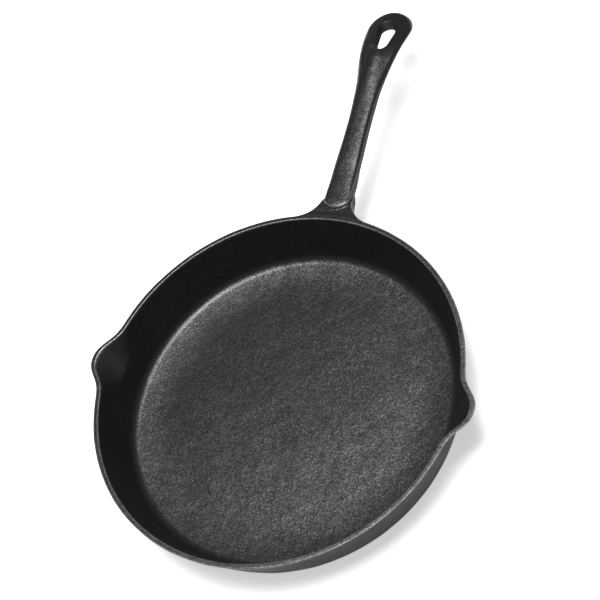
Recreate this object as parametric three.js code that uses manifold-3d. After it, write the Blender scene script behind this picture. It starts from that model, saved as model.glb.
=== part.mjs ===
// Cast iron skillet, one rigid casting, modelled as the regions that its pattern is made of.
// Millimetres. +Z up, +Y along the handle, +X through the right-hand pour spout.
// The origin is the centre of the flat base, on the surface that the pan stands on.

import * as THREE from 'three';
import { mergeVertices } from 'three/addons/utils/BufferGeometryUtils.js';
import Module from 'manifold-3d';

// ---- driving dimensions ----------------------------------------------------

const RIM_RADIUS = 152.4;        // outside of the rim: a 12 inch pan
const RIM_WIDTH = 4.0;           // flat top of the rim
const PAN_HEIGHT = 47.0;         // base to rim
const WALL_FLARE = 0.323;        // outward run per unit of height, inside and out
const FLOOR_THICKNESS = 4.5;
const FLOOR_DISC_RADIUS = 127.0; // plain disc, inside the fillet
const INNER_FILLET = 6.0;        // floor to wall
const BASE_CORNER = 5.5;         // base to outer wall
const RIM_EDGE = 0.8;            // small round on both edges of the rim

const SPOUT_REACH = 12.7;        // how far a spout's lip stands out past the rim
const SPOUT_HALF_ANGLE = 6.8;    // degrees, where the lip has dropped to 1/e
const SPOUT_SHARPNESS = 2.5;
const SPOUT_DEPTH_OUTSIDE = 25.0;
const SPOUT_DEPTH_INSIDE = 18.0;

const NECK_FILLET = 17.0;        // in plan, handle side to rim
const NECK_HALF_WIDTH = 12.1;
const NECK_DROP = 0.4;           // the collar's top, below the rim
const NOSE_START = 157.9;        // where the handle's back rises from the collar
const NOSE_RADIUS = 14.6;        // of that edge, in plan
const NOSE_LENGTH = 3.6;         // of the rise

const HANDLE_TIP = 350.0;
const EYE_CENTRE = 330.3;        // centre of the round end
const EYE_RADIUS = 19.5;

const HOLE_WIDE_CENTRE = 327.0;  // teardrop hanging hole
const HOLE_WIDE_RADIUS = 5.6;
const HOLE_NARROW_CENTRE = 311.6;
const HOLE_NARROW_RADIUS = 3.9;
const HOLE_CHAMFER = 1.9;        // on both faces of the eye

const OVAL = 2.35;               // exponent of the handle's section: 2 is an ellipse, more is squarer

// [distance from the pan's axis, middle of the handle above the base, half width, half thickness]
const HANDLE = [
  [146.0, 37.5, 12.2, 11.0],
  [158.0, 39.7, 12.1, 8.7],
  [166.0, 41.2, 12.0, 7.2],
  [174.0, 42.4, 11.9, 6.4],
  [182.0, 43.9, 11.7, 5.6],
  [191.0, 45.3, 11.4, 5.1],
  [201.0, 46.9, 11.05, 4.8],
  [211.2, 48.5, 10.75, 4.6],
  [221.7, 50.0, 10.4, 4.5],
  [232.3, 51.4, 10.25, 4.4],
  [242.6, 53.0, 10.25, 4.4],
  [253.0, 54.8, 10.5, 4.3],
  [263.7, 56.5, 11.0, 4.2],
  [274.3, 58.1, 11.9, 4.1],
  [285.0, 59.3, 13.2, 4.0],
  [296.3, 60.1, 14.9, 3.9],
  [304.0, 60.3, 16.1, 3.8],
  [312.4, 59.9, 17.5, 3.7],
  [321.4, 58.3, 18.7, 3.6],
  [330.3, 56.2, 19.5, 3.5],
  [340.0, 54.0, 19.5, 3.4],
  [352.0, 52.4, 19.5, 3.2],
];

// where the casting is divided into its regions
const SPOUT_SECTOR = 11.5;       // degrees either side of the X axis
const SPOUT_SECTOR_FLOOR = 18.0; // height of the cut under a spout
const ROOT_SECTOR = 15.5;        // degrees either side of the handle
const ROOT_SECTOR_FLOOR = 15.0;
const GRIP_START = 184.0;
const EYE_START = 303.0;

const AROUND = 120;              // facets round the pan
const CROWD = 0.24;              // crowds the facets towards the spouts

// ---- small helpers ---------------------------------------------------------

const wasm = await Module();
wasm.setup();

const rad = (degrees) => degrees * Math.PI / 180;
const clamp01 = (t) => Math.min(1, Math.max(0, t));
const smooth = (t) => { const c = clamp01(t); return c * c * (3 - 2 * c); };

function solid(geometry) {
  const g = geometry.clone();
  g.deleteAttribute('normal');
  g.deleteAttribute('uv');
  const m = mergeVertices(g, 1e-4);
  const index = m.index.array;
  const tris = [];
  for (let i = 0; i < index.length; i += 3) {
    const [a, b, c] = [index[i], index[i + 1], index[i + 2]];
    if (a !== b && b !== c && c !== a) tris.push(a, b, c);
  }
  const vertProperties = new Float32Array(m.attributes.position.array);
  let volume = 0;
  const p = (i) => new THREE.Vector3().fromArray(vertProperties, 3 * i);
  for (let i = 0; i < tris.length; i += 3) {
    volume += p(tris[i]).dot(p(tris[i + 1]).cross(p(tris[i + 2])));
  }
  if (volume < 0) for (let i = 0; i < tris.length; i += 3) [tris[i], tris[i + 1]] = [tris[i + 1], tris[i]];
  return new wasm.Manifold(new wasm.Mesh({ numProp: 3, vertProperties, triVerts: new Uint32Array(tris) }));
}

function geometryOf(manifold) {
  const mesh = manifold.getMesh();
  const g = new THREE.BufferGeometry();
  g.setAttribute('position', new THREE.BufferAttribute(new Float32Array(mesh.vertProperties), 3));
  g.setIndex(new THREE.BufferAttribute(new Uint32Array(mesh.triVerts), 1));
  g.computeVertexNormals();
  return g;
}

// a profile point's round corner: from, corner, to and radius give the arc's points
function corner(before, at, after, radius, steps) {
  const a = before.clone().sub(at).normalize();
  const b = after.clone().sub(at).normalize();
  const half = Math.acos(a.dot(b)) / 2;
  const reach = radius / Math.tan(half);
  const centre = at.clone().add(a.clone().add(b).normalize().multiplyScalar(radius / Math.sin(half)));
  const start = at.clone().addScaledVector(a, reach).sub(centre);
  const end = at.clone().addScaledVector(b, reach).sub(centre);
  const a0 = Math.atan2(start.y, start.x);
  let turn = Math.atan2(end.y, end.x) - a0;
  if (turn > Math.PI) turn -= 2 * Math.PI;
  if (turn < -Math.PI) turn += 2 * Math.PI;
  const out = [];
  for (let i = 0; i <= steps; i++) {
    const t = a0 + turn * i / steps;
    out.push(new THREE.Vector2(centre.x + radius * Math.cos(t), centre.y + radius * Math.sin(t)));
  }
  return out;
}

// ---- pan -------------------------------------------------------------------

// turns a profile (radius, height) round +Z, crowds the facets and pushes out the spouts
function turned(profile) {
  const g = new THREE.LatheGeometry(profile, AROUND);
  g.rotateX(Math.PI / 2);
  const pos = g.attributes.position;
  for (let i = 0; i < pos.count; i++) {
    const x = pos.getX(i), y = pos.getY(i), z = pos.getZ(i);
    const r = Math.hypot(x, y);
    if (r < 1e-6) { pos.setXYZ(i, 0, 0, z); continue; }
    let angle = Math.atan2(y, x);
    angle -= CROWD * Math.sin(2 * angle);
    const out = r + spoutPush(r, angle, z);
    pos.setXYZ(i, out * Math.cos(angle), out * Math.sin(angle), z);
  }
  return g;
}

function spoutPush(r, angle, z) {
  const down = PAN_HEIGHT - z;
  const outerWall = RIM_RADIUS - WALL_FLARE * down;
  const outside = clamp01((r - (outerWall - RIM_WIDTH)) / RIM_WIDTH);
  const depth = SPOUT_DEPTH_INSIDE + (SPOUT_DEPTH_OUTSIDE - SPOUT_DEPTH_INSIDE) * outside;
  const s = clamp01(1 - down / depth);
  if (s <= 0) return 0;
  const away = Math.min(Math.abs(angle), Math.PI - Math.abs(angle)) * 180 / Math.PI;
  const width = SPOUT_HALF_ANGLE * (0.5 + 0.5 * s);
  return SPOUT_REACH * s * Math.exp(-Math.pow(away / width, SPOUT_SHARPNESS));
}

const V = (r, z) => new THREE.Vector2(r, z);
const innerTop = V(RIM_RADIUS - RIM_WIDTH, PAN_HEIGHT);
const outerTop = V(RIM_RADIUS, PAN_HEIGHT);
const innerFoot = V(RIM_RADIUS - RIM_WIDTH - WALL_FLARE * (PAN_HEIGHT - FLOOR_THICKNESS), FLOOR_THICKNESS);
const outerFoot = V(RIM_RADIUS - WALL_FLARE * PAN_HEIGHT, 0);
const floorEdgeTop = V(FLOOR_DISC_RADIUS, FLOOR_THICKNESS);
const floorEdgeBottom = V(FLOOR_DISC_RADIUS, 0);
const onInnerWall = (down) => V(RIM_RADIUS - RIM_WIDTH - WALL_FLARE * down, PAN_HEIGHT - down);
const onOuterWall = (down) => V(RIM_RADIUS - WALL_FLARE * down, PAN_HEIGHT - down);

const floorProfile = [V(0, 0), floorEdgeBottom, floorEdgeTop, V(0, FLOOR_THICKNESS)];

const wallProfile = [
  floorEdgeBottom,
  ...corner(floorEdgeBottom, outerFoot, outerTop, BASE_CORNER, 3),
  onOuterWall(25), onOuterWall(16), onOuterWall(8),
  ...corner(outerFoot, outerTop, innerTop, RIM_EDGE, 1),
  ...corner(outerTop, innerTop, innerFoot, RIM_EDGE, 1),
  onInnerWall(6), onInnerWall(12), onInnerWall(18),
  ...corner(innerTop, innerFoot, floorEdgeTop, INNER_FILLET, 4),
  floorEdgeTop,
  floorEdgeBottom,
];

const floorDisc = solid(turned(floorProfile));
const wallRing = solid(turned(wallProfile));

// ---- handle ----------------------------------------------------------------

function along(r, column) {
  let i = 0;
  while (i < HANDLE.length - 2 && r > HANDLE[i + 1][0]) i++;
  const [a, b] = [HANDLE[i], HANDLE[i + 1]];
  const t = clamp01((r - a[0]) / (b[0] - a[0]));
  return a[column] + (b[column] - a[column]) * t;
}

// half width in plan at a distance from the pan's axis, with the flare into the rim and the round end
function halfWidth(r) {
  let w = along(r, 2);
  const cx = NECK_HALF_WIDTH + NECK_FILLET;
  const cy = Math.sqrt((RIM_RADIUS + NECK_FILLET) ** 2 - cx ** 2);
  if (r < cy) {
    const touch = Math.atan2(cx, cy);
    if (r <= RIM_RADIUS + 0.4) return r * Math.sin(touch) * 0.97;
    // where the arc of this radius meets the fillet's circle
    const d = RIM_RADIUS + NECK_FILLET;
    const cosine = (r * r + d * d - NECK_FILLET ** 2) / (2 * r * d);
    const angle = touch - Math.acos(clamp01(cosine));
    w = Math.max(w, r * Math.sin(angle));
  }
  return w;
}

// how far in from the edge the section's rounding reaches: all the way across the grip, less at the root and the eye
function roundingReach(y) {
  const w = along(y, 2);
  const grip = w * (1 - 0.5 * (1 - smooth((y - 172) / 34)));
  return grip + (4.6 - grip) * smooth((y - 246) / 52);
}

// height of the face that looks up: the collar, then the handle's back, then the eye with the back running out onto it
function handleTop(x, y, edgeShape) {
  const oval = smooth((y - 166) / 10);
  const spine = 1.6 * smooth((y - 244) / 30) * (1 - smooth((y - 283) / 24));
  const spineWidth = 10.2 - 7 * smooth((y - 262) / 48);
  const back = along(y, 1) + along(y, 3) * (1 + oval * (edgeShape - 1))
    + spine * edgeShape * Math.exp(-1.5 * (x / spineWidth) ** 2);
  const collar = PAN_HEIGHT - NECK_DROP;
  const edge = NOSE_START + NOSE_RADIUS * (1 - Math.sqrt(clamp01(1 - (x / NOSE_RADIUS) ** 2)));
  return collar + (back - collar) * smooth((y - edge) / NOSE_LENGTH);
}

function handleBody() {
  const rows = [];
  for (let r = 150.2; r < 172; r += 1.7) rows.push(r);
  for (let r = 174; r < 303; r += 6.4) rows.push(r);
  for (let r = 304; r < EYE_CENTRE; r += 3.4) rows.push(r);
  const straight = rows.length;
  const endRows = 7;
  const across = 10, up = 4;
  const g = new THREE.BoxGeometry(2, 1, 1, across, straight + endRows, up);
  const pos = g.attributes.position;
  const n = straight + endRows;
  const inset = [0.2, 0.035, 0, 0.035, 0.2];
  const shallow = Math.pow(1 - Math.pow(1 - inset[1], OVAL), 1 / OVAL);
  for (let i = 0; i < pos.count; i++) {
    const u0 = pos.getX(i);
    const level = Math.round((pos.getZ(i) + 0.5) * up);
    const row = Math.round((pos.getY(i) + 0.5) * n);
    const u = Math.sign(u0) * (1 - Math.pow(1 - Math.abs(u0), 1.3));
    let x, y;
    if (row < straight) {
      const r = rows[row];
      const oval = smooth((r - 166) / 10);
      const square = [0.80, 0.96, 1.0, 1.0, 0.97][level];
      const w = halfWidth(r);
      x = u * (w * square * (1 - oval) + (w - inset[level] * roundingReach(r)) * oval);
      y = Math.sqrt(r * r - x * x);
    } else {
      const s = (row - straight) / endRows;
      const radius = EYE_RADIUS - inset[level] * roundingReach(EYE_CENTRE);
      const a = rad(52) * s;
      x = radius * Math.cos(a) * u;
      y = EYE_CENTRE + radius * Math.sin(a)
        + s * (Math.sqrt(Math.max(0, radius ** 2 - x * x)) - radius * Math.sin(a));
    }
    const yy = Math.min(y, HANDLE_TIP);
    const width = along(Math.min(yy, EYE_CENTRE), 2);
    const side = (yy < EYE_CENTRE ? Math.abs(x) : Math.hypot(x, yy - EYE_CENTRE)) - width;
    const reach = roundingReach(yy);
    const into = clamp01(1 + side / reach);
    const edgeShape = Math.pow(Math.max(0, 1 - Math.pow(into, OVAL)), 1 / OVAL);
    const oval = smooth((yy - 166) / 10);
    const top = handleTop(x, yy, edgeShape);
    const middle = along(yy, 1), thick = along(yy, 3);
    const flare = 3 * smooth((Math.abs(x) - 12) / 16) * (1 - oval);
    const bottom = middle - thick * (1 + oval * (edgeShape - 1)) + flare;
    const boxed = bottom + (top - bottom) * [0, 0.22, 0.5, 0.9, 1][level];
    const rounded = [bottom, middle - thick * shallow, middle, middle + thick * shallow, top][level];
    const z = boxed + (rounded - boxed) * oval;
    // near the pan the whole section leans back with the wall
    const lean = WALL_FLARE * (PAN_HEIGHT - z) * (1 - smooth((yy - 150) / 26));
    const back = (y - lean) / y;
    pos.setXYZ(i, x * back, y * back, z);
  }
  return g;
}

function teardrop(grow, from, to) {
  const s = new THREE.Shape();
  const gap = HOLE_WIDE_CENTRE - HOLE_NARROW_CENTRE;
  const tilt = Math.asin((HOLE_WIDE_RADIUS - HOLE_NARROW_RADIUS) / gap);
  s.absarc(0, HOLE_WIDE_CENTRE, HOLE_WIDE_RADIUS + grow, -tilt, Math.PI + tilt, false);
  s.absarc(0, HOLE_NARROW_CENTRE, HOLE_NARROW_RADIUS + grow, Math.PI + tilt, 2 * Math.PI - tilt, false);
  const g = new THREE.ExtrudeGeometry(s, { depth: to - from, bevelEnabled: false, curveSegments: 14 });
  g.translate(0, 0, from);
  return g;
}

// the hole widens towards both faces of the eye, which slopes
function hangingHole() {
  let cutter = solid(teardrop(0, 35, 75));
  for (const [grow, away] of [[HOLE_CHAMFER * 0.45, 2.3], [HOLE_CHAMFER, 2.9]]) {
    for (const way of [1, -1]) {
      const g = teardrop(grow, 0, 12);
      const pos = g.attributes.position;
      for (let i = 0; i < pos.count; i++) {
        const y = pos.getY(i);
        pos.setZ(i, along(y, 1) + way * (away + pos.getZ(i)));
      }
      cutter = cutter.add(solid(g));
    }
  }
  return cutter;
}

// ---- dividing the casting into regions ---------------------------------------

// an upright wedge of the plan, either side of a direction
function sector(direction, half, near, far, from, to) {
  const s = new THREE.Shape();
  const pt = (r, a) => [r * Math.cos(rad(a)), r * Math.sin(rad(a))];
  s.moveTo(...pt(near, direction - half));
  s.lineTo(...pt(far, direction - half));
  s.lineTo(...pt(far, direction + half));
  s.lineTo(...pt(near, direction + half));
  s.closePath();
  const g = new THREE.ExtrudeGeometry(s, { depth: to - from, bevelEnabled: false });
  g.translate(0, 0, from);
  return solid(g);
}

function slab(y0, y1) {
  const g = new THREE.BoxGeometry(200, y1 - y0, 160);
  g.translate(0, (y0 + y1) / 2, 50);
  return solid(g);
}

const casting = wallRing.add(solid(handleBody())).subtract(hangingHole());

const leftSector = sector(180, SPOUT_SECTOR, 100, 200, SPOUT_SECTOR_FLOOR, 80);
const rightSector = sector(0, SPOUT_SECTOR, 100, 200, SPOUT_SECTOR_FLOOR, 80);
const rootSector = sector(90, ROOT_SECTOR, 100, 400, ROOT_SECTOR_FLOOR, 90);

const handleSide = casting.intersect(rootSector);

const regions = {
  pan_floor: floorDisc,
  side_wall: casting.subtract(leftSector).subtract(rightSector).subtract(rootSector),
  left_pour_spout: casting.intersect(leftSector),
  right_pour_spout: casting.intersect(rightSector),
  handle_root: handleSide.intersect(slab(0, GRIP_START)),
  handle_grip: handleSide.intersect(slab(GRIP_START, EYE_START)),
  hanging_eye: handleSide.intersect(slab(EYE_START, 400)),
};

// ---- materials and scene -----------------------------------------------------

const seasonedIron = (colour, roughness) =>
  new THREE.MeshStandardMaterial({ color: colour, roughness, metalness: 0.55 });

const finishes = {
  pan_floor: seasonedIron(0x2b2b2c, 0.62),
  side_wall: seasonedIron(0x1a1a1b, 0.5),
  left_pour_spout: seasonedIron(0x1d1d1e, 0.5),
  right_pour_spout: seasonedIron(0x1d1d1e, 0.5),
  handle_root: seasonedIron(0x222223, 0.58),
  handle_grip: seasonedIron(0x242425, 0.6),
  hanging_eye: seasonedIron(0x1e1e1f, 0.55),
};

const skillet = new THREE.Group();
for (const [name, body] of Object.entries(regions)) {
  const mesh = new THREE.Mesh(geometryOf(body), finishes[name]);
  mesh.name = name;
  skillet.add(mesh);
}

export default skillet;
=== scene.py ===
import math

import bpy
import bmesh
import numpy as np
from mathutils import Matrix, Vector


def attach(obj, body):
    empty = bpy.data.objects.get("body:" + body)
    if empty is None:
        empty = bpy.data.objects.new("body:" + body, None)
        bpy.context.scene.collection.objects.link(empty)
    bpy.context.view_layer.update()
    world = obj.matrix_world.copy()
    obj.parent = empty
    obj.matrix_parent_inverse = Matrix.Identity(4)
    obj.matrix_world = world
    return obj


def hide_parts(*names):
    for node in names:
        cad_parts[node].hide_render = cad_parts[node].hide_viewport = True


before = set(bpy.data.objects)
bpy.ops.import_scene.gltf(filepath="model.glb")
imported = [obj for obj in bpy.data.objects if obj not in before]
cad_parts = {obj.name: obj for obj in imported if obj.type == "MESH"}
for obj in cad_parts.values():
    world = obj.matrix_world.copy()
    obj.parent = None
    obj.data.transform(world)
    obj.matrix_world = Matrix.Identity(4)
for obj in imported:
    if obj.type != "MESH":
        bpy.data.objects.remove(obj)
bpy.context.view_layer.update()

# The skillet is one iron casting. Its skin is written here as one function of position (millimetres, the CAD's own
# frame), sampled finely, and divided along the same planes as the CAD's regions. Every region gets its normals from
# the whole casting, so that no seam shows.

# ---- sizes, in mm ------------------------------------------------------------

RIM_RADIUS = 152.4
RIM_WIDTH = 4.0
PAN_HEIGHT = 47.0
WALL_FLARE = 0.323
FLOOR_THICKNESS = 3.3        # in the middle; the floor turns up gently towards the wall
FLOOR_DISC = 127.0
INNER_FILLET = 8.6
DISH_START, DISH_TILT = 98.0, 8.2   # where the floor starts to turn up, and how steep it is at the disc's edge
BASE_CORNER = 5.5
RIM_EDGE = 0.8
UPRIGHT = 1 / math.hypot(1, WALL_FLARE)

SPOUT_REACH = 12.7
SPOUT_HALF_ANGLE = 6.8
SPOUT_SHARPNESS = 2.5
SPOUT_DEPTH_OUTSIDE = 25.0
SPOUT_DEPTH_INSIDE = 18.0

NECK_FILLET = 19.0
NECK_DROP = 0.4
NOSE_CENTRE, NOSE_RADIUS = 172.6, 15.4   # the handle's bar ends in a round nose on the collar
EYE_CENTRE = 330.3
HOLE_WIDE_CENTRE, HOLE_WIDE_RADIUS = 327.0, 5.6      # at its narrowest, halfway through
HOLE_NARROW_CENTRE, HOLE_NARROW_RADIUS = 311.6, 3.9
HOLE_FLARE = 0.80, 0.35            # how fast it widens above and below that, per mm of height
HOLE_EDGE = 0.2

# distance from the pan's axis, height of the handle's middle, half width, half thickness
HANDLE = np.array([
    [120.0, 39.5, 12.8, 8.8], [146.0, 41.0, 12.8, 8.4], [158.0, 41.5, 12.7, 7.9], [166.0, 42.1, 12.7, 7.6],
    [174.0, 43.1, 12.7, 7.1], [182.0, 44.9, 12.5, 6.0], [191.0, 46.6, 12.1, 5.1], [201.0, 48.3, 11.65, 4.8],
    [211.2, 49.9, 11.35, 4.6], [221.7, 51.4, 11.0, 4.5], [232.3, 52.8, 10.85, 4.4], [242.6, 54.4, 10.85, 4.4],
    [253.0, 56.0, 11.1, 4.3], [263.7, 57.6, 11.5, 4.2], [274.3, 58.9, 12.4, 4.1], [285.0, 60.3, 13.9, 4.1],
    [296.3, 61.5, 15.8, 4.2], [304.0, 61.7, 16.9, 4.2], [312.4, 60.9, 18.0, 4.2], [321.4, 59.0, 19.05, 4.3],
    [330.3, 56.9, 19.85, 4.4], [340.0, 54.7, 19.9, 4.5], [352.0, 53.1, 19.9, 4.5],
])

SPOUT_SECTOR, SPOUT_FLOOR = 11.5, 18.0
ROOT_SECTOR, ROOT_FLOOR = 15.5, 15.0
GRIP_START, EYE_START = 184.0, 303.0


# ---- small helpers -------------------------------------------------------------

def smooth(t):
    t = np.clip(t, 0, 1)
    return t * t * (3 - 2 * t)


def curve(xs, ys, blur=3.0):
    """A smooth line through a few points, evened out over a few millimetres."""
    h, fine = np.diff(xs), np.arange(xs[0], xs[-1] + 0.05, 0.1)
    d = np.diff(ys) / h
    m = np.concatenate([[d[0]], (d[:-1] * h[1:] + d[1:] * h[:-1]) / (h[:-1] + h[1:]), [d[-1]]])
    i = np.clip(np.searchsorted(xs, fine) - 1, 0, len(xs) - 2)
    t = (fine - xs[i]) / h[i]
    v = ((1 + 2 * t) * (1 - t) ** 2 * ys[i] + t * (1 - t) ** 2 * h[i] * m[i]
         + t * t * (3 - 2 * t) * ys[i + 1] + t * t * (t - 1) * h[i] * m[i + 1])
    n = int(4 * blur / 0.1)
    k = np.exp(-0.5 * (np.arange(-n, n + 1) * 0.1 / blur) ** 2)
    slope0, slope1 = v[1] - v[0], v[-1] - v[-2]
    padded = np.concatenate([v[0] - slope0 * np.arange(n, 0, -1), v, v[-1] + slope1 * np.arange(1, n + 1)])
    v = np.convolve(padded, k / k.sum(), "valid")
    return lambda q: np.interp(q, fine, v)


def round_max(a, b, r):
    """Both solids' common part, with its edge rounded."""
    return np.minimum(np.maximum(a, b), -r) + np.hypot(np.maximum(a + r, 0), np.maximum(b + r, 0))


def round_min(a, b, r):
    """Both solids joined, with a fillet in the corner between them."""
    return np.maximum(np.minimum(a, b), r) - np.hypot(np.maximum(r - a, 0), np.maximum(r - b, 0))


rng = np.random.default_rng(20)
_waves = []
for wavelength, amplitude, count in ((62.0, 0.075, 5), (27.0, 0.040, 7), (11.0, 0.014, 9)):
    for _ in range(count):
        way = rng.normal(size=3)
        way /= np.linalg.norm(way)
        _waves.append((way * 2 * math.pi / (wavelength * rng.uniform(0.8, 1.25)), rng.uniform(0, 2 * math.pi),
                       amplitude * math.sqrt(2.0 / count)))


def unevenness(p):
    """How far the sand mould's surface wanders from the pattern, in mm. The face that the pan stands on is ground flat."""
    out = np.zeros(len(p))
    for k, phase, amplitude in _waves:
        out += amplitude * np.sin(p @ k + phase)
    return out * smooth((p[:, 2] - 0.4) / 3.0)


# ---- the handle and its root ----------------------------------------------------

middle = curve(HANDLE[:, 0], HANDLE[:, 1], 4.0)
half_width = curve(HANDLE[:, 0], HANDLE[:, 2], 3.5)
half_thickness = curve(HANDLE[:, 0], HANDLE[:, 3], 4.0)


def collar(x, y):
    """Height of the flat between the rim and the handle's nose; it sinks into the handle's sides."""
    r = np.hypot(x, y)
    return PAN_HEIGHT - NECK_DROP * smooth((r - RIM_RADIUS) / 4) - 9.0 * smooth((y - 163) / 26)


def bar(x, y, z):
    """The handle itself. Its back is a low dome with a crisp edge, its flanks slope out to the mould's parting line and
    are undercut below it, and it ends in a round nose at the root. At the eye it is a crowned plate, and the back runs
    out onto it as a spine."""
    w, h = half_width(np.minimum(y, EYE_CENTRE)), half_thickness(y)
    side = np.where(y < EYE_CENTRE, np.abs(x) - w, np.hypot(x, y - EYE_CENTRE) - w)
    nose = np.hypot(x, np.minimum(y - NOSE_CENTRE, 0)) - NOSE_RADIUS - 30 * smooth((y - NOSE_CENTRE) / 24)
    side = round_max(side, nose, 3.0)
    to_eye, to_grip = smooth((y - 246) / 44), smooth((y - 166) / 26)
    u = np.clip(1 + side / w, 0, 1.1)
    drop = (1.5 + 0.7 * to_grip) * (1 - to_eye)
    crown = 2.6 * to_eye
    spine = 2.2 * smooth((y - 244) / 54) * (1 - smooth((y - 295) / 22)) * np.maximum(1 - (x / 12.5) ** 2, 0) ** 2
    top = middle(y) + h - drop * u ** 2.6 - crown * np.minimum((x / w) ** 2, 1.2) + spine
    steep = np.hypot(2.6 * drop / w * u ** 1.6, 2 * crown / w * np.minimum(np.abs(x) / w, 1.1))
    back = (z - top) / np.hypot(1, steep)
    parting = middle(y) + h - drop - crown - 3.3 + 0.9 * to_eye - 1.5 * (1 - smooth((y - 178) / 20))
    above = z - parting
    flank = np.where(above > 0, (side + 0.45 * above) / math.hypot(1, 0.45), (side - 0.75 * above) / math.hypot(1, 0.75))
    belly = (middle(y) - h + 1.1 * u * u - z) / np.hypot(1, 2.2 * u / w)
    skin = round_max(flank, back, 1.0 + 0.5 * to_grip + 0.5 * to_eye)
    return round_max(skin, belly, 2.0)


def hole(x, y):
    """Distance to the teardrop's outline in plan, negative inside it."""
    length = HOLE_WIDE_CENTRE - HOLE_NARROW_CENTRE
    b = (HOLE_WIDE_RADIUS - HOLE_NARROW_RADIUS) / length
    a = math.sqrt(1 - b * b)
    px, py = np.abs(x), HOLE_WIDE_CENTRE - y
    k = -b * px + a * py
    side = a * px + b * py - HOLE_WIDE_RADIUS
    wide = np.hypot(px, py) - HOLE_WIDE_RADIUS
    narrow = np.hypot(px, py - length) - HOLE_NARROW_RADIUS
    return np.where(k < 0, wide, np.where(k > a * length, narrow, side))


def casting(p):
    """Distance to the casting's skin near the handle, negative in the iron."""
    x, y, z = p[:, 0], p[:, 1], p[:, 2]
    r = np.hypot(x, y)
    outer = (r - (RIM_RADIUS - WALL_FLARE * (PAN_HEIGHT - z))) * UPRIGHT
    inner = ((RIM_RADIUS - RIM_WIDTH - WALL_FLARE * (PAN_HEIGHT - z)) - r) * UPRIGHT
    neck_width = half_width(y) + 0.3 - 4.0 * smooth((y - 169) / 18)
    under = middle(y) - half_thickness(y) + 1.5 * smooth((y - 160) / 20)
    neck = round_max(np.abs(x) - neck_width, under - z, 3.4)
    neck = np.maximum(neck, np.maximum(100 - y, y - 190))
    skin = round_min(outer, neck, NECK_FILLET)
    skin = round_max(skin, z - collar(x, y), RIM_EDGE + 0.5 * smooth((y - 156) / 16))
    grip = np.where(y > 150, bar(x, np.maximum(y, 150), z), 9.0)
    skin = round_min(skin, grip, 0.7)
    skin = round_max(skin, inner, RIM_EDGE)
    above = z - middle(y) + 1.0
    flare = HOLE_FLARE[0] * np.maximum(above, 0) + HOLE_FLARE[1] * np.maximum(-above, 0)
    tilt = np.where(above > 0, math.hypot(1, HOLE_FLARE[0]), math.hypot(1, HOLE_FLARE[1]))
    skin = np.where(y > 285, round_max(skin, (flare - hole(x, y)) / tilt, HOLE_EDGE), skin)
    return skin - unevenness(p)


def slope_of(f, p, h=0.04):
    g = np.empty_like(p)
    for axis in range(3):
        q = p.copy()
        q[:, axis] += h
        g[:, axis] = f(q)
        q[:, axis] -= 2 * h
        g[:, axis] -= f(q)
    return g / (2 * h)


def skin_of(f, low, shape, step):
    """A quad mesh of the surface f = 0 by surface nets, with its points then put on the surface."""
    g = np.empty(shape, np.float32)
    ys, zs = low[1] + step * np.arange(shape[1]), low[2] + step * np.arange(shape[2])
    yy, zz = (a.ravel() for a in np.meshgrid(ys, zs, indexing="ij"))
    for i in range(shape[0]):
        g[i] = f(np.column_stack([np.full(len(yy), low[0] + step * i), yy, zz])).reshape(shape[1:])
    inside = g < 0
    corners = [(a, b, c) for a in (0, 1) for b in (0, 1) for c in (0, 1)]
    view = lambda arr, o: arr[o[0]:shape[0] - 1 + o[0], o[1]:shape[1] - 1 + o[1], o[2]:shape[2] - 1 + o[2]]
    count = sum(view(inside, o).astype(np.uint8) for o in corners)
    cells = np.argwhere((count > 0) & (count < 8))
    number = np.full(count.shape, -1, np.int64)
    number[tuple(cells.T)] = np.arange(len(cells))
    total, crossings = np.zeros((len(cells), 3)), np.zeros(len(cells))
    for a in corners:
        for axis in range(3):
            if a[axis]:
                continue
            b = list(a)
            b[axis] = 1
            ga = g[tuple((cells + a).T)].astype(float)
            gb = g[tuple((cells + b).T)].astype(float)
            hit = (ga < 0) != (gb < 0)
            t = ga[hit] / (ga[hit] - gb[hit])
            total[hit] += np.array(a) + np.outer(t, np.array(b) - a)
            crossings[hit] += 1
    points = np.array(low) + step * (cells + total / crossings[:, None])
    faces = []
    for axis in range(3):
        u, v = (axis + 1) % 3, (axis + 2) % 3
        a = [slice(1, n - 1) for n in shape]
        b = list(a)
        a[axis], b[axis] = slice(0, shape[axis] - 1), slice(1, shape[axis])
        change = inside[tuple(a)] != inside[tuple(b)]
        at = np.argwhere(change)
        offset = np.ones(3, int)
        offset[axis] = 0
        at = at + offset
        du, dv = np.zeros(3, int), np.zeros(3, int)
        du[u], dv[v] = 1, 1
        ring = [at - du - dv, at - dv, at, at - du]
        quad = np.column_stack([number[tuple(c.T)] for c in ring])
        out = inside[tuple(at.T)]
        quad[~out] = quad[~out][:, ::-1]
        faces.append(quad)
    faces = np.concatenate(faces)
    for _ in range(4):
        value, s = f(points), slope_of(f, points)
        move = s * (value / np.maximum((s * s).sum(1), 0.2))[:, None]
        length = np.linalg.norm(move, axis=1)
        points -= move * np.minimum(1, 0.5 * step / np.maximum(length, 1e-9))[:, None]
    return points, faces


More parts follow.
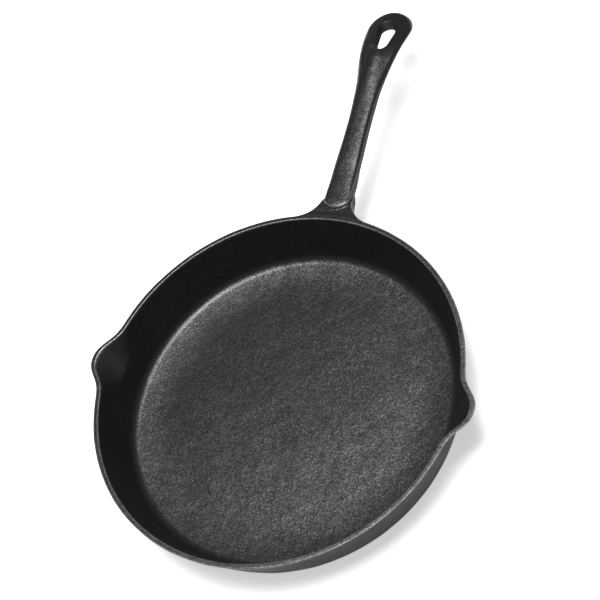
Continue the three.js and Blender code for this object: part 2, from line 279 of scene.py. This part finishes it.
def clipped(points, faces, cuts):
    """The part of a mesh on the inner side of each cut, closed along the cuts. A cut is (point, outward normal)."""
    bm = bmesh.new()
    verts = [bm.verts.new(p) for p in points]
    for f in faces:
        bm.faces.new([verts[i] for i in f])
    for at, way in cuts:
        bmesh.ops.bisect_plane(bm, geom=bm.verts[:] + bm.edges[:] + bm.faces[:], dist=1e-5,
                               plane_co=Vector(at), plane_no=Vector(way), clear_outer=True)
    bmesh.ops.delete(bm, geom=[v for v in bm.verts if not v.link_faces], context="VERTS")
    layer = bm.faces.layers.int.new("cap")
    for at, way in cuts:
        at, way = Vector(at), Vector(way).normalized()
        on = [e for e in bm.edges if len(e.link_faces) == 1 and all(abs((v.co - at).dot(way)) < 2e-3 for v in e.verts)
              and not e.link_faces[0][layer]]
        chains, left = [], set(on)
        while left:
            e = left.pop()
            chain = [e.verts[0], e.verts[1]]
            for end in (0, 1):
                while True:
                    tip = chain[-1] if end == 0 else chain[0]
                    nxt = next((x for x in tip.link_edges if x in left), None)
                    if nxt is None:
                        break
                    left.discard(nxt)
                    other = nxt.other_vert(tip)
                    if other is chain[0] or other is chain[-1]:
                        break
                    chain.append(other) if end == 0 else chain.insert(0, other)
            chains.append(chain)
        chains = [c for c in chains if len(c) > 8]
        if len(chains) == 2 and (chains[0][0].co - chains[0][-1].co).length > 20:
            a, b = chains
            if (a[-1].co - b[0].co).length > (a[-1].co - b[-1].co).length:
                b = b[::-1]
            chains = [a + b]
        for chain in chains:
            face = bm.faces.new(chain)
            face.normal_update()
            if face.normal.dot(way) < 0:
                face.normal_flip()
            face[layer] = 1
    bm.verts.index_update()
    pts = np.array([v.co[:] for v in bm.verts])
    fcs = [[v.index for v in f.verts] for f in bm.faces]
    caps = np.array([f[layer] for f in bm.faces], bool)
    bm.free()
    return pts, fcs, caps


def bend_of(f, p, h=0.35):
    """Mean curvature of the skin, per mm, positive on a convex edge."""
    total = -6 * f(p)
    for axis in range(3):
        for s in (h, -h):
            q = p.copy()
            q[:, axis] += s
            total += f(q)
    return total / (h * h)


# ---- the pan ----------------------------------------------------------------------

def spout_push(r, angle, z):
    down = PAN_HEIGHT - z
    outside = np.clip((r - (RIM_RADIUS - WALL_FLARE * down - RIM_WIDTH)) / RIM_WIDTH, 0, 1)
    depth = SPOUT_DEPTH_INSIDE + (SPOUT_DEPTH_OUTSIDE - SPOUT_DEPTH_INSIDE) * outside
    s = np.clip(1 - down / depth, 0, 1)
    away = np.degrees(np.minimum(np.abs(angle), math.pi - np.abs(angle)))
    width = SPOUT_HALF_ANGLE * (0.5 + 0.5 * s)
    return SPOUT_REACH * s * np.exp(-(away / width) ** SPOUT_SHARPNESS)


def arc(before, at, after, radius, steps):
    before, at, after = (np.array(v, float) for v in (before, at, after))
    a, b = (before - at) / np.linalg.norm(before - at), (after - at) / np.linalg.norm(after - at)
    half = math.acos(a @ b) / 2
    centre = at + (a + b) / np.linalg.norm(a + b) * radius / math.sin(half)
    s, e = at + a * radius / math.tan(half) - centre, at + b * radius / math.tan(half) - centre
    t0, t1 = math.atan2(s[1], s[0]), math.atan2(e[1], e[0])
    turn = (t1 - t0 + math.pi) % (2 * math.pi) - math.pi
    t = t0 + turn * np.linspace(0, 1, steps + 1)
    return [(centre[0] + radius * math.cos(q), centre[1] + radius * math.sin(q)) for q in t]


def line(a, b, pitch):
    n = max(1, round(math.dist(a, b) / pitch))
    return [(a[0] + (b[0] - a[0]) * i / n, a[1] + (b[1] - a[1]) * i / n) for i in range(1, n)]


def dish(r):
    """How far the floor has risen at a distance from the middle."""
    t = np.clip((r - DISH_START) / (FLOOR_DISC - DISH_START), 0, None)
    return math.radians(DISH_TILT) * (FLOOR_DISC - DISH_START) * t ** 2.25 / 2.25


def on_wall(z, inside):
    return (RIM_RADIUS - (RIM_WIDTH if inside else 0) - WALL_FLARE * (PAN_HEIGHT - z), z)


edge_height = FLOOR_THICKNESS + float(dish(FLOOR_DISC))
tilt = math.tan(math.radians(DISH_TILT))
meet = (FLOOR_DISC * tilt - edge_height + PAN_HEIGHT - (RIM_RADIUS - RIM_WIDTH) / WALL_FLARE) / (tilt - 1 / WALL_FLARE)
inner_foot, outer_foot = (meet, edge_height + tilt * (meet - FLOOR_DISC)), on_wall(0, False)
inner_top, outer_top = on_wall(PAN_HEIGHT, True), on_wall(PAN_HEIGHT, False)
floor_arc = arc((FLOOR_DISC, edge_height), inner_foot, inner_top, INNER_FILLET, 14)
inner_arc = arc(inner_foot, inner_top, outer_top, RIM_EDGE, 9)
outer_arc = arc(inner_top, outer_top, outer_foot, RIM_EDGE, 9)
base_arc = arc(outer_top, outer_foot, (FLOOR_DISC, 0), BASE_CORNER, 12)

profile = [(FLOOR_DISC, edge_height)] + line((FLOOR_DISC, edge_height), floor_arc[0], 1.3) + floor_arc
for z0, z1 in ((floor_arc[-1][1], ROOT_FLOOR), (ROOT_FLOOR, SPOUT_FLOOR), (SPOUT_FLOOR, inner_arc[0][1])):
    profile += line(on_wall(z0, True), on_wall(z1, True), 1.15)
    if z1 in (ROOT_FLOOR, SPOUT_FLOOR):
        profile.append(on_wall(z1, True))
rim_rows = [len(profile)]
profile += inner_arc
rim_rows.append(len(profile))
profile += line(inner_arc[-1], outer_arc[0], 0.6)
rim_rows.append(len(profile))
profile += outer_arc
rim_rows.append(len(profile))
for z0, z1 in ((outer_arc[-1][1], SPOUT_FLOOR), (SPOUT_FLOOR, ROOT_FLOOR), (ROOT_FLOOR, base_arc[0][1])):
    profile += line(on_wall(z0, False), on_wall(z1, False), 1.15)
    if z1 in (ROOT_FLOOR, SPOUT_FLOOR):
        profile.append(on_wall(z1, False))
profile += base_arc + line(base_arc[-1], (FLOOR_DISC, 0), 1.5) + [(FLOOR_DISC, 0.0)]
profile = np.array(profile)
ROWS = len(profile)


def rim_section(q):
    outer = (q[:, 0] - (RIM_RADIUS - WALL_FLARE * (PAN_HEIGHT - q[:, 1]))) * UPRIGHT
    inner = ((RIM_RADIUS - RIM_WIDTH - WALL_FLARE * (PAN_HEIGHT - q[:, 1])) - q[:, 0]) * UPRIGHT
    return round_max(round_max(outer, q[:, 1] - PAN_HEIGHT, RIM_EDGE), inner, RIM_EDGE)


for _ in range(4):  # the rim's rounded edges are the same ones as in casting()
    upper = profile[:, 1] > 40
    q, h = profile[upper], 0.01
    gr = (rim_section(q + [h, 0]) - rim_section(q - [h, 0])) / (2 * h)
    gz = (rim_section(q + [0, h]) - rim_section(q - [0, h])) / (2 * h)
    v = rim_section(q) / np.maximum(gr * gr + gz * gz, 0.3)
    profile[upper] -= np.column_stack([gr * v, gz * v])

angles, marks = [], {}
for name, start, end, n in (("spout_right", -SPOUT_SECTOR, SPOUT_SECTOR, 96), ("", SPOUT_SECTOR, 90 - ROOT_SECTOR, 112),
                            ("root", 90 - ROOT_SECTOR, 90 + ROOT_SECTOR, 64), ("", 90 + ROOT_SECTOR, 180 - SPOUT_SECTOR, 112),
                            ("spout_left", 180 - SPOUT_SECTOR, 180 + SPOUT_SECTOR, 96),
                            ("", 180 + SPOUT_SECTOR, 360 - SPOUT_SECTOR, 288)):
    if name:
        marks[name] = (len(angles), len(angles) + n)
    angles += list(start + (end - start) * np.arange(n) / n)
angles = np.radians((np.array(angles) + 180) % 360 - 180)
COLUMNS = len(angles)

rr = np.repeat(profile[:, :1], COLUMNS, 1)
zz = np.repeat(profile[:, 1:], COLUMNS, 1)
aa = np.repeat(angles[None], ROWS, 0)
rr = rr + spout_push(rr, aa, zz)
pan = np.stack([rr * np.cos(aa), rr * np.sin(aa), zz], -1)


def grid_normals(p):
    """Normals of a grid of points, closed along its second index, from the faces round each point."""
    nxt = np.roll(p, -1, 1)
    n = np.cross(nxt[1:] - p[:-1], p[1:] - nxt[:-1])
    full = np.zeros_like(p)
    full[:-1] += n
    full[1:] += n
    full[:-1] += np.roll(n, 1, 1)
    full[1:] += np.roll(n, 1, 1)
    return full / np.maximum(np.linalg.norm(full, axis=-1, keepdims=True), 1e-12)


normals = grid_normals(pan)
if (normals[rim_rows[1] + 1, :, 2] < 0).mean() > 0.5:
    normals = -normals
flat = pan.reshape(-1, 3)
pan = (flat + normals.reshape(-1, 3) * unevenness(flat)[:, None]).reshape(pan.shape)
turned_normals = grid_normals(pan)
if (turned_normals[rim_rows[1] + 1, :, 2] < 0).mean() > 0.5:
    turned_normals = -turned_normals
normals = turned_normals


def level_normals(p, up):
    """Normals of the floor, from its dish and its unevenness."""
    if not up:
        return np.tile([0.0, 0.0, -1.0], (len(p), 1))
    h = 0.2
    rise = lambda q: dish(np.hypot(q[:, 0], q[:, 1])) + unevenness(q)
    gx = (rise(p + [h, 0, 0]) - rise(p - [h, 0, 0])) / (2 * h)
    gy = (rise(p + [0, h, 0]) - rise(p - [0, h, 0])) / (2 * h)
    n = np.column_stack([-gx, -gy, np.ones(len(p))])
    return n / np.linalg.norm(n, axis=1)[:, None]


normals[0] = level_normals(pan[0], True)
normals[-1] = level_normals(pan[-1], False)

wear_rows = np.zeros(ROWS)
for a, b in ((rim_rows[0], rim_rows[1]), (rim_rows[2], rim_rows[3])):
    wear_rows[a:b] = np.sin(np.linspace(0.12, math.pi - 0.12, b - a)) ** 0.5
grain_rows = np.full(ROWS, 0.45)
grain_rows[:len(floor_arc)] = 1.0
grain_rows[len(floor_arc) - 4:len(floor_arc) + 12] = np.linspace(1.0, 0.45, 16)
grain_rows[rim_rows[0] - 3:rim_rows[3] + 3] = 0.8


# ---- meshes -------------------------------------------------------------------------

def build(name, points, faces, normal_at, caps, wear, grain, node, material):
    """One visible piece. normal_at gives each point's normal on the casting; a cap along a cut keeps its own."""
    mesh = bpy.data.meshes.new(name)
    mesh.from_pydata((np.asarray(points) * 0.001).tolist(), [], [list(map(int, f)) for f in faces])
    mesh.polygons.foreach_set("use_smooth", np.ones(len(mesh.polygons), bool))
    corner = np.empty(len(mesh.loops), np.int32)
    mesh.loops.foreach_get("vertex_index", corner)
    sizes = np.empty(len(mesh.polygons), np.int32)
    mesh.polygons.foreach_get("loop_total", sizes)
    own = np.empty(len(mesh.polygons) * 3, np.float32)
    mesh.polygons.foreach_get("normal", own)
    own = np.repeat(own.reshape(-1, 3), sizes, 0)
    cap = np.repeat(np.asarray(caps, bool), sizes)
    loop_normals = np.where(cap[:, None], own, np.asarray(normal_at)[corner])
    mesh.normals_split_custom_set(loop_normals.tolist())
    # how far each face tilts sideways or down; the material dims its reflection there, as painted shade for the
    # shadowed floor these faces mirror
    underside_shade = smooth((0.25 - np.asarray(normal_at)[:, 2]) / 0.3)
    for label, values in (("wear", wear), ("grain", grain), ("underside_shade", underside_shade)):
        mesh.attributes.new(label, "FLOAT", "POINT").data.foreach_set("value", np.asarray(values, np.float32))
    mesh.materials.append(material)
    obj = bpy.data.objects.new(name, mesh)
    bpy.context.scene.collection.objects.link(obj)
    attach(obj, "root")
    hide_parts(node)
    return obj


def wall_part(columns, low_row, high_row, floor_z):
    """Faces of the pan's skin between two columns and two rows, with the radial and level cuts closed."""
    faces, caps = [], []
    for i in range(*columns):
        k = (i + 1) % COLUMNS
        for j in range(low_row, high_row):
            faces.append((j * COLUMNS + i, j * COLUMNS + k, (j + 1) * COLUMNS + k, (j + 1) * COLUMNS + i))
            caps.append(False)
        faces.append((low_row * COLUMNS + i, high_row * COLUMNS + i, high_row * COLUMNS + k, low_row * COLUMNS + k))
        caps.append(True)
    first, last = columns[0], columns[1] % COLUMNS
    faces.append([j * COLUMNS + first for j in range(low_row, high_row + 1)])
    faces.append([j * COLUMNS + last for j in range(high_row, low_row - 1, -1)])
    caps += [True, True]
    return faces, caps


def row_at(z, inside):
    rows = [j for j in range(ROWS) if abs(profile[j, 1] - z) < 1e-6 and (j < rim_rows[0]) == inside]
    return rows[0]


def compact(faces, *arrays):
    used = np.unique(np.concatenate([np.asarray(f) for f in faces]))
    new = np.full(used.max() + 1, -1)
    new[used] = np.arange(len(used))
    return [[int(new[i]) for i in f] for f in faces], [a[used] for a in arrays]


pan_points, pan_normals = pan.reshape(-1, 3), normals.reshape(-1, 3)
pan_wear = np.repeat(wear_rows, COLUMNS)
pan_grain = np.repeat(grain_rows, COLUMNS)


# ---- materials ----------------------------------------------------------------------

def seasoned_iron(name, tint):
    """Sand-cast iron under a baked oil seasoning: near black, satin, with the sand's grain in it, and polished a
    little lighter where edges rub. Scales are in metres, so the grain keeps its real size."""
    mat = bpy.data.materials.new(name)
    mat.use_nodes = True
    nt = mat.node_tree
    nt.nodes.clear()
    new = nt.nodes.new
    link = nt.links.new
    out = new("ShaderNodeOutputMaterial")
    shader = new("ShaderNodeBsdfPrincipled")
    link(shader.outputs["BSDF"], out.inputs["Surface"])
    where = new("ShaderNodeTexCoord").outputs["Object"]

    def noise(scale, detail, rough, kind="FBM", lac=2.0):
        n = new("ShaderNodeTexNoise")
        n.noise_type = kind
        n.inputs["Scale"].default_value = scale
        n.inputs["Detail"].default_value = detail
        n.inputs["Roughness"].default_value = rough
        n.inputs["Lacunarity"].default_value = lac
        link(where, n.inputs["Vector"])
        return n.outputs["Fac"]

    def maths(op, a, b=0.0, clamp=False):
        n = new("ShaderNodeMath")
        n.operation = op
        n.use_clamp = clamp
        for k, v in ((0, a), (1, b)):
            if isinstance(v, (int, float)):
                n.inputs[k].default_value = v
            else:
                link(v, n.inputs[k])
        return n.outputs[0]

    def spread(v, a, b, c=0.0, d=1.0):
        n = new("ShaderNodeMapRange")
        n.interpolation_type = "SMOOTHSTEP"
        link(v, n.inputs["Value"])
        for k, x in (("From Min", a), ("From Max", b), ("To Min", c), ("To Max", d)):
            n.inputs[k].default_value = x
        return n.outputs["Result"]

    def attribute(label):
        n = new("ShaderNodeAttribute")
        n.attribute_name = label
        return n.outputs["Fac"]

    grain, wear = attribute("grain"), attribute("wear")
    sand = noise(700.0, 3.0, 0.6)              # the mould's sand, grains of about 1 mm
    coarse = noise(300.0, 2.0, 0.5)            # clumps of 3 mm
    ripple = noise(95.0, 2.0, 0.5)             # the gentle orange peel of the seasoning, 10 mm
    patches = noise(24.0, 4.0, 0.55)           # uneven seasoning, 40 mm
    flecks = noise(1500.0, 1.0, 0.5)

    # each grain left its own small facet, with its own tilt and gloss
    cells = new("ShaderNodeTexVoronoi")
    cells.feature = "F1"
    cells.inputs["Scale"].default_value = 820.0
    link(where, cells.inputs["Vector"])
    chance = new("ShaderNodeSeparateColor")
    link(cells.outputs["Color"], chance.inputs["Color"])
    tilted = new("ShaderNodeVectorMath")
    tilted.operation = "SUBTRACT"
    link(cells.outputs["Color"], tilted.inputs[0])
    tilted.inputs[1].default_value = (0.5, 0.5, 0.5)
    scaled = new("ShaderNodeVectorMath")
    scaled.operation = "SCALE"
    link(tilted.outputs[0], scaled.inputs[0])
    link(maths("MULTIPLY", grain, 0.075), scaled.inputs["Scale"])
    added = new("ShaderNodeVectorMath")
    added.operation = "ADD"
    link(new("ShaderNodeNewGeometry").outputs["Normal"], added.inputs[0])
    link(scaled.outputs[0], added.inputs[1])
    facet = new("ShaderNodeVectorMath")
    facet.operation = "NORMALIZE"
    link(added.outputs[0], facet.inputs[0])

    # colour: near black, a shade lighter and browner where the oil baked thin
    ramp = new("ShaderNodeMix")
    ramp.data_type = "RGBA"
    ramp.inputs["A"].default_value = tint[0]
    ramp.inputs["B"].default_value = tint[1]
    link(spread(patches, 0.32, 0.68), ramp.inputs["Factor"])
    speck = new("ShaderNodeMix")
    speck.data_type = "RGBA"
    speck.inputs["B"].default_value = tint[2]
    link(ramp.outputs["Result"], speck.inputs["A"])
    link(maths("MULTIPLY", spread(flecks, 0.56, 0.74), maths("MULTIPLY", grain, 0.55)), speck.inputs["Factor"])
    rubbed = new("ShaderNodeMix")
    rubbed.data_type = "RGBA"
    rubbed.inputs["B"].default_value = tint[3]
    link(speck.outputs["Result"], rubbed.inputs["A"])
    worn = maths("MULTIPLY", maths("MULTIPLY", wear, spread(coarse, 0.30, 0.62, 0.35, 1.0)), 0.8)
    link(worn, rubbed.inputs["Factor"])
    link(rubbed.outputs["Result"], shader.inputs["Base Color"])

    # gloss
    gloss = maths("ADD", spread(patches, 0.3, 0.7, 0.35, 0.30), spread(sand, 0.3, 0.7, -0.04, 0.05))
    gloss = maths("SUBTRACT", gloss, maths("MULTIPLY", wear, 0.10), True)
    # faces that tilt sideways or down are made a little rougher, part of the same painted shade
    link(maths("ADD", gloss, maths("MULTIPLY", attribute("underside_shade"), 0.08)), shader.inputs["Roughness"])
    speckle = maths("MULTIPLY", maths("SUBTRACT", chance.outputs["Red"], 0.5), maths("MULTIPLY", grain, 0.20))
    underside_shade = attribute("underside_shade")                   # faces that tilt sideways or down get a duller, weaker reflection: painted shade for the shadowed floor they mirror
    gloss_level = maths("MULTIPLY", maths("ADD", speckle, 0.5), maths("SUBTRACT", 1.0, maths("MULTIPLY", underside_shade, 0.62)))
    link(gloss_level, shader.inputs["Specular IOR Level"])
    link(maths("SUBTRACT", 1.5, maths("MULTIPLY", underside_shade, 0.29)), shader.inputs["IOR"])
    link(maths("MULTIPLY", worn, 0.35), shader.inputs["Metallic"])

    # relief, in metres
    height = maths("MULTIPLY", sand, maths("ADD", maths("MULTIPLY", grain, 0.00013), 0.00004))
    height = maths("ADD", height, maths("MULTIPLY", coarse, maths("MULTIPLY", grain, 0.00009)))
    height = maths("ADD", height, maths("MULTIPLY", ripple, 0.00022))
    bump = new("ShaderNodeBump")
    bump.inputs["Strength"].default_value = 1.0
    bump.inputs["Distance"].default_value = 1.0
    link(height, bump.inputs["Height"])
    link(facet.outputs[0], bump.inputs["Normal"])
    link(bump.outputs["Normal"], shader.inputs["Normal"])
    return mat


def tone(v, warm=0.0):
    return (v * (1 + warm), v, v * (1 - warm), 1.0)


floor_iron = seasoned_iron("seasoned_floor", (tone(0.0062), tone(0.0085), tone(0.04), tone(0.16)))
wall_iron = seasoned_iron("seasoned_wall", (tone(0.0062), tone(0.0085), tone(0.04), tone(0.16)))
handle_iron = seasoned_iron("seasoned_handle", (tone(0.0062), tone(0.0085), tone(0.04), tone(0.16)))


# ---- pieces -------------------------------------------------------------------------

# the ring of wall, without the spouts and the handle's root
keep, caps = [], []
spout_rows = (row_at(SPOUT_FLOOR, True), row_at(SPOUT_FLOOR, False))
root_rows = (row_at(ROOT_FLOOR, True), row_at(ROOT_FLOOR, False))
notches = [(marks["spout_left"], spout_rows), (marks["spout_right"], spout_rows), (marks["root"], root_rows)]
cut = np.zeros((ROWS - 1, COLUMNS), bool)
for (c0, c1), (r0, r1) in notches:
    cut[r0:r1, c0:c1] = True
for j in range(ROWS - 1):
    for i in range(COLUMNS):
        if not cut[j, i]:
            k = (i + 1) % COLUMNS
            keep.append((j * COLUMNS + i, j * COLUMNS + k, (j + 1) * COLUMNS + k, (j + 1) * COLUMNS + i))
            caps.append(False)
for i in range(COLUMNS):  # where the ring meets the floor's disc
    k = (i + 1) % COLUMNS
    last = (ROWS - 1) * COLUMNS
    keep.append((last + i, last + k, k, i))
    caps.append(True)
for (c0, c1), (r0, r1) in notches:
    for i in range(c0, c1):
        k = (i + 1) % COLUMNS
        keep.append((r0 * COLUMNS + i, r0 * COLUMNS + k, r1 * COLUMNS + k, r1 * COLUMNS + i))
        caps.append(True)
    keep.append([j * COLUMNS + c0 for j in range(r1, r0 - 1, -1)])
    keep.append([j * COLUMNS + c1 % COLUMNS for j in range(r0, r1 + 1)])
    caps += [True, True]


def facing(faces, caps, points, normals):
    """Turns the faces over if they look inwards."""
    a, b, c = (points[[f[i] for f, s in zip(faces, caps) if not s]] for i in (0, 1, 2))
    n = normals[[f[0] for f, s in zip(faces, caps) if not s]]
    if (np.einsum("ij,ij->i", np.cross(b - a, c - b), n) < 0).mean() > 0.5:
        return [list(f)[::-1] for f in faces]
    return faces


def make(name, faces, caps, node, material):
    faces = facing(faces, caps, pan_points, pan_normals)
    f, (p, n, w, g) = compact(faces, pan_points, pan_normals, pan_wear, pan_grain)
    return build(name, p, f, n, caps, w, g, node, material)


make("side_wall_casting", keep, caps, "side_wall", wall_iron)
for side in ("left", "right"):
    f, c = wall_part(marks["spout_" + side], *spout_rows, SPOUT_FLOOR)
    make(side + "_spout_casting", f, c, side + "_pour_spout", wall_iron)

# the floor: rings that halve their columns towards the middle
points, faces, rings = [], [], []
levels = {}
for up in (True, False):
    z0 = FLOOR_THICKNESS if up else 0.0
    n, radii = COLUMNS, []
    row0 = 0 if up else ROWS - 1
    start = len(points)
    points += list(pan[row0])
    previous = list(range(start, start + COLUMNS))
    levels[up] = previous
    r = FLOOR_DISC
    step = 1.3
    while n > 12:
        halve = r * 2 * math.pi / n < 0.62 * step and n % 2 == 0
        r_next = r - step
        if r_next < step:
            break
        m = n // 2 if halve else n
        at = angles[::COLUMNS // m]
        ring = np.column_stack([r_next * np.cos(at), r_next * np.sin(at), np.full(m, z0)])
        if up:
            ring[:, 2] += dish(r_next)
            ring[:, 2] += unevenness(ring)
        first = len(points)
        points += list(ring)
        current = list(range(first, first + m))
        for i in range(m):
            a, b = current[i], current[(i + 1) % m]
            if halve:
                p0, p1, p2 = previous[2 * i], previous[2 * i + 1], previous[(2 * i + 2) % n]
                new = [(p0, p1, a), (p1, b, a), (p1, p2, b)]
            else:
                new = [(previous[i], previous[(i + 1) % n], b, a)]
            faces += [f if up else f[::-1] for f in new]
        previous, n, r = current, m, r_next
        step = min(3.0, step * 1.06)
    centre = np.array([[0.0, 0.0, z0]])
    if up:
        centre[:, 2] += unevenness(centre)
    points.append(centre[0])
    for i in range(n):
        f = (previous[i], previous[(i + 1) % n], len(points) - 1)
        faces.append(f if up else f[::-1])
caps = [False] * len(faces)
for i in range(COLUMNS):
    k = (i + 1) % COLUMNS
    faces.append((levels[False][i], levels[False][k], levels[True][k], levels[True][i]))
    caps.append(True)
points = np.array(points)
upward = points[:, 2] > 2
point_normals = np.where(upward[:, None], level_normals(points, True), level_normals(points, False))
build("pan_floor_casting", points, faces, point_normals, caps, np.zeros(len(points)),
      np.where(upward, 1.0, 0.45), "pan_floor", floor_iron)

# the root, the grip and the eye
STEP = 0.45
low = np.array([-101 * 0.45, 128.0, 13.0])
root_points, root_faces = skin_of(casting, low, [int(91 / STEP), int(58.5 / STEP), int(39 / STEP)], STEP)
shift = np.array([STEP * round((v - l) / STEP) for v, l in zip((-21.5, 180.0, 32.0), low)])
bar_points, bar_faces = skin_of(casting, low + shift, [int(43.5 / STEP), int(172.5 / STEP), int(38.5 / STEP)], STEP)
a = math.radians(ROOT_SECTOR)
wedge = [((0, 0, 0), (math.cos(a), -math.sin(a), 0)), ((0, 0, 0), (-math.cos(a), -math.sin(a), 0)),
         ((0, 0, ROOT_FLOOR), (0, 0, -1))]
for name, points, faces, cuts, node in (
    ("handle_root_casting", root_points, root_faces, wedge + [((0, GRIP_START, 0), (0, 1, 0))], "handle_root"),
    ("handle_grip_casting", bar_points, bar_faces, [((0, GRIP_START, 0), (0, -1, 0)), ((0, EYE_START, 0), (0, 1, 0))], "handle_grip"),
    ("hanging_eye_casting", bar_points, bar_faces, [((0, EYE_START, 0), (0, -1, 0))], "hanging_eye"),
):
    p, f, c = clipped(points, faces, cuts)
    n = slope_of(casting, p)
    n /= np.linalg.norm(n, axis=1)[:, None]
    w = smooth((bend_of(casting, p) - 0.22) / 0.75) * (1 - smooth((p[:, 1] - 285) / 15))
    r = np.hypot(p[:, 0], p[:, 1])
    on_top = smooth((n[:, 2] - 0.3) / 0.5)
    on_handle = smooth((r - RIM_RADIUS) / 6)
    g = 0.45 + (0.35 + 0.2 * on_handle) * on_top
    build(name, p, f, n, c, w, g, node, handle_iron)


# ---- floor, light and camera ------------------------------------------------------------

ground = bpy.data.meshes.new("ground")
ground.from_pydata([(-9, -9, 0), (9, -9, 0), (9, 9, 0), (-9, 9, 0)], [], [(0, 1, 2, 3)])
paper = bpy.data.materials.new("paper")
paper.use_nodes = True
paper_shader = paper.node_tree.nodes["Principled BSDF"]
paper_shader.inputs["Base Color"].default_value = (0.86, 0.86, 0.86, 1)
paper_shader.inputs["Roughness"].default_value = 0.9
paper_shader.inputs["Specular IOR Level"].default_value = 0.2
paper_shader.inputs["Emission Color"].default_value = (1, 1, 1, 1)
paper_shader.inputs["Emission Strength"].default_value = 0.55   # a table lit from below, as for a cut-out
ground.materials.append(paper)
floor = bpy.data.objects.new("ground", ground)
bpy.context.scene.collection.objects.link(floor)

world = bpy.data.worlds.new("studio")
bpy.context.scene.world = world
world.use_nodes = True
world.node_tree.nodes["Background"].inputs["Color"].default_value = (1.0, 1.0, 1.0, 1)
world.node_tree.nodes["Background"].inputs["Strength"].default_value = 0.10


def softbox(name, at, target, size, power):
    lamp = bpy.data.lights.new(name, "AREA")
    lamp.shape = "RECTANGLE"
    lamp.size, lamp.size_y = size
    lamp.energy = power
    o = bpy.data.objects.new(name, lamp)
    o.location = at
    o.rotation_euler = (Vector(target) - Vector(at)).to_track_quat("-Z", "Y").to_euler()
    bpy.context.scene.collection.objects.link(o)
    return o


def of_radiance(radiance, size):
    return radiance * math.pi * size[0] * size[1]


softbox("overhead", (0.03, 0.03, 1.35), (0, 0, 0), (0.80, 0.80), of_radiance(16.0, (0.80, 0.80)))

camera = bpy.data.cameras.new("camera")
camera.lens = 109.85
camera.sensor_width = 36.0
camera.shift_x = -0.5 / 600
camera.shift_y = 0.5 / 600
camera.clip_start, camera.clip_end = 0.05, 50.0
eye = bpy.data.objects.new("camera", camera)
eye.matrix_world = Matrix(((0.89504, -0.10577, 0.43325, 0.62193),
                           (0.29776, 0.86496, -0.40396, -0.50784),
                           (-0.33202, 0.49057, 0.80567, 1.20602),
                           (0, 0, 0, 1)))
bpy.context.scene.collection.objects.link(eye)
bpy.context.scene.camera = eye
bpy.context.scene.view_settings.view_transform = "Standard"
